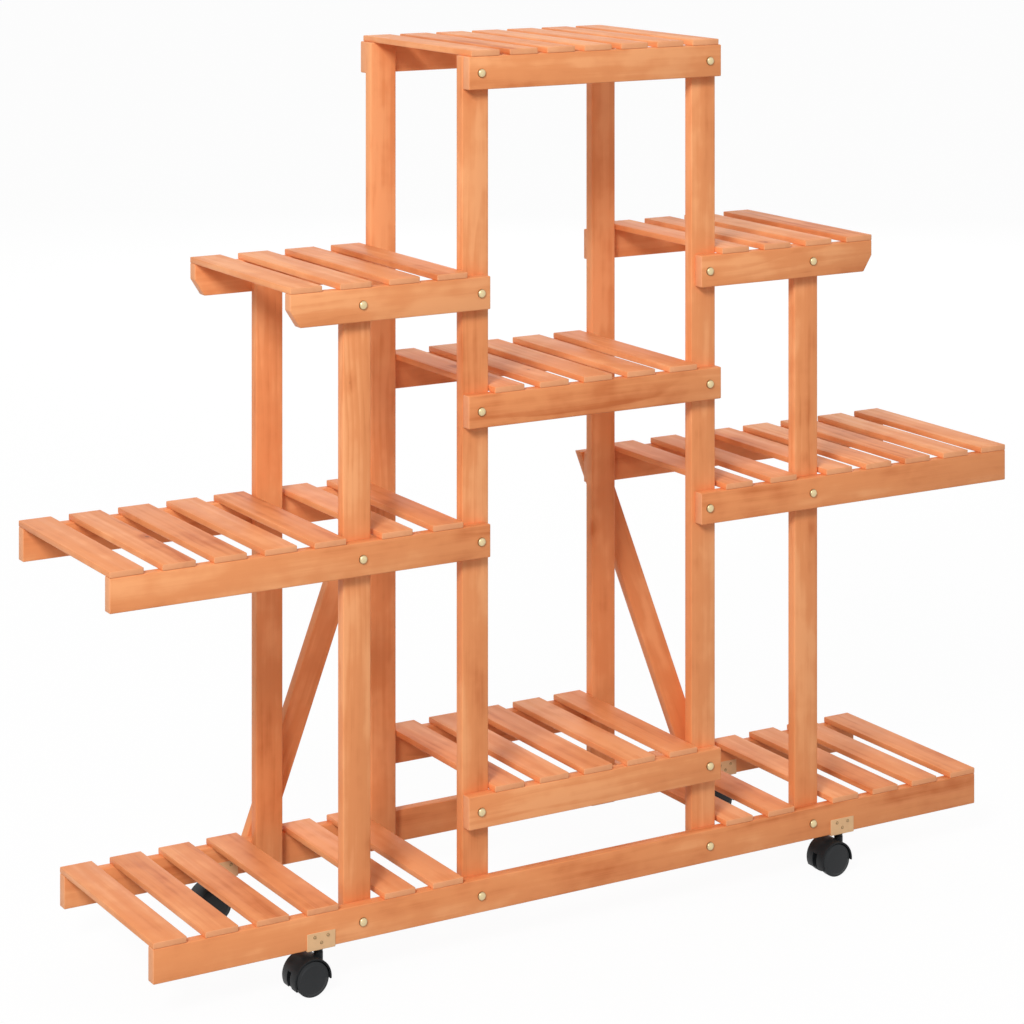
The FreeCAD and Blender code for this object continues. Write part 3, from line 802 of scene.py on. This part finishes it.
def hoodArch(half):
    # the web and fender: a T section, (along the axle, across from it), swept over the wheels
    webHalf, inside, outside = hood["webHalf"], hood["innerRadius"], hood["outerRadius"]
    edge, fillet, share, lip = hood["edge"], hood["fillet"], hood["edgeRound"], hood["lip"]
    flank = [
        (webHalf, hood["webFoot"]), (webHalf, inside - fillet),
        (webHalf + fillet * share, inside - fillet * share), (webHalf + fillet, inside),
        (half - edge * lip, inside), (half, inside + edge * lip), (half, outside - edge),
        (half - edge * share, outside - edge * share), (half - edge, outside),
    ]
    section = flank + [(-along, across) for along, across in flank[::-1]]
    dip = math.radians(hood["dip"])
    bm = bmesh.new()
    chain = [
        bm.verts.new((across * math.cos(dip), along, -across * math.sin(dip)))
        for along, across in section
    ]
    first = [bm.edges.new((chain[index - 1], chain[index])) for index in range(len(chain))]
    swept = bmesh.ops.spin(bm, geom=chain + first, cent=(0, 0, 0), axis=(0, -1, 0),
                           angle=math.radians(hood["sweep"]), steps=hood["sweepSteps"])
    last = [item for item in swept["geom_last"] if isinstance(item, bmesh.types.BMEdge)]
    for rim in (first, last):
        bmesh.ops.contextual_create(bm, geom=rim)
    bmesh.ops.recalc_face_normals(bm, faces=bm.faces)
    return bm


def makeHood(node):
    low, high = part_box(node)
    axleLow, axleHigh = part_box(node.replace("hood", "axle"))
    centre = Vector((
        (axleLow.x + axleHigh.x) / 2, (low.y + high.y) / 2, (axleLow.z + axleHigh.z) / 2))
    stemLow, stemHigh = [
        box for box in islands("caster_stems")
        if low.x < box[0].x < high.x and low.y < box[0].y < high.y
    ][0]
    stemPlace = Vector(((stemLow.x + stemHigh.x) / 2, (stemLow.y + stemHigh.y) / 2, 0)) - centre
    half, webHalf, outside = (high.y - low.y) / 2, hood["webHalf"], hood["outerRadius"]
    foot, top = hood["neckFoot"] - centre.z, high.z - centre.z
    steps, past = hood["steps"], hood["past"]

    # a boss for the axle and a neck for the stem, and the holes in both
    boss = roundBar(hood["bossRadius"], -webHalf, webHalf, "Y", steps)
    neck = roundBar(hood["neckRadius"], foot, top, "Z", steps, topChamfer=hood["neckChamfer"])
    bore = roundBar(hood["boreRadius"], stemLow.z - centre.z, top + past, "Z", steps)
    hole = roundBar(hood["axleRadius"], -half, half, "Y", steps)
    for part in (neck, bore):
        bmesh.ops.translate(part, vec=(stemPlace.x, stemPlace.y, 0), verts=part.verts)

    # the stem stands ahead of the axle, so the slot is on the other side of it
    behind = -1 if stemPlace.x > 0 else 1
    reach = hood["slotDeep"] + past
    slot = bmesh.new()
    bmesh.ops.create_cube(slot, size=1)
    bmesh.ops.scale(slot, vec=(reach, hood["slotHalf"] * 2, outside + hood["slotTop"]),
                    verts=slot.verts)
    slotPlace = (behind * (outside + past - reach / 2), 0, (hood["slotTop"] - outside) / 2)
    bmesh.ops.translate(slot, vec=slotPlace, verts=slot.verts)

    bm = hoodArch(half)
    for part in (boss, neck):
        bm = carved(bm, part, "UNION")
    for part in (bore, hole, slot):
        bm = carved(bm, part, "DIFFERENCE")
    bmesh.ops.translate(bm, vec=centre, verts=bm.verts)
    addPiece(node + "_moulding", bm, [hoodPlastic], hood["smooth"], node)


stems = {
    "collarFoot": 44.3 * mm,
    "collarTop": 48.3 * mm,
    "collarEase": 0.5 * mm,
    "pinRadius": 3 * mm,
    "pinChamfer": 0.5 * mm,
    "steps": 32,
    "smooth": 35,
}


def makeStems():
    # a plain pin below and a square spigot above, both steel, with a black collar between
    bm = bmesh.new()
    foot, top, radius = stems["collarFoot"], stems["collarTop"], stems["pinRadius"]
    steps, ease = stems["steps"], stems["collarEase"]
    for low, high in islands("caster_stems"):
        middle = (low + high) / 2
        tall, across = high.z - top, radius * math.sqrt(2)      # the spigot fits the pin's circle
        spigot = bmesh.ops.create_cube(bm, size=1)["verts"]
        bmesh.ops.scale(bm, vec=(across, across, tall), verts=spigot)
        bmesh.ops.translate(bm, vec=(middle.x, middle.y, high.z - tall / 2), verts=spigot)
        pin = roundBar(radius, low.z, foot, "Z", steps, footChamfer=stems["pinChamfer"])
        collar = roundBar((high.x - low.x) / 2, foot, top, "Z", steps, ease, ease)
        for face in collar.faces:
            face.material_index = 1
        for part in (pin, collar):
            bmesh.ops.translate(part, vec=(middle.x, middle.y, 0), verts=part.verts)
            joined(bm, part)
    addPiece("stems_with_collars", bm, [steel, hoodPlastic], stems["smooth"],
             "caster_stems")


brackets = {
    "ease": 0.4 * mm,
    "easeSteps": 2,
    "sharpAngle": 40,
    "smooth": 30,
}


def makeBrackets():
    bm = mergedCopy("caster_brackets")
    piece = addPiece("corner_brackets", bm, [bracketPaint], brackets["smooth"],
                     "caster_brackets")
    ease = piece.modifiers.new("ease", "BEVEL")
    ease.width = brackets["ease"]
    ease.segments = brackets["easeSteps"]
    ease.limit_method = "ANGLE"
    ease.angle_limit = math.radians(brackets["sharpAngle"])


for node in sorted(nodes):
    if node.startswith("wheel_"):
        makeWheel(node)
    if node.startswith("caster_hood_"):
        makeHood(node)
    if node.startswith("caster_axle_"):
        nodes[node].material_slots[0].material = steel
makeStems()
makeBrackets()
print("casters and brackets fitted")
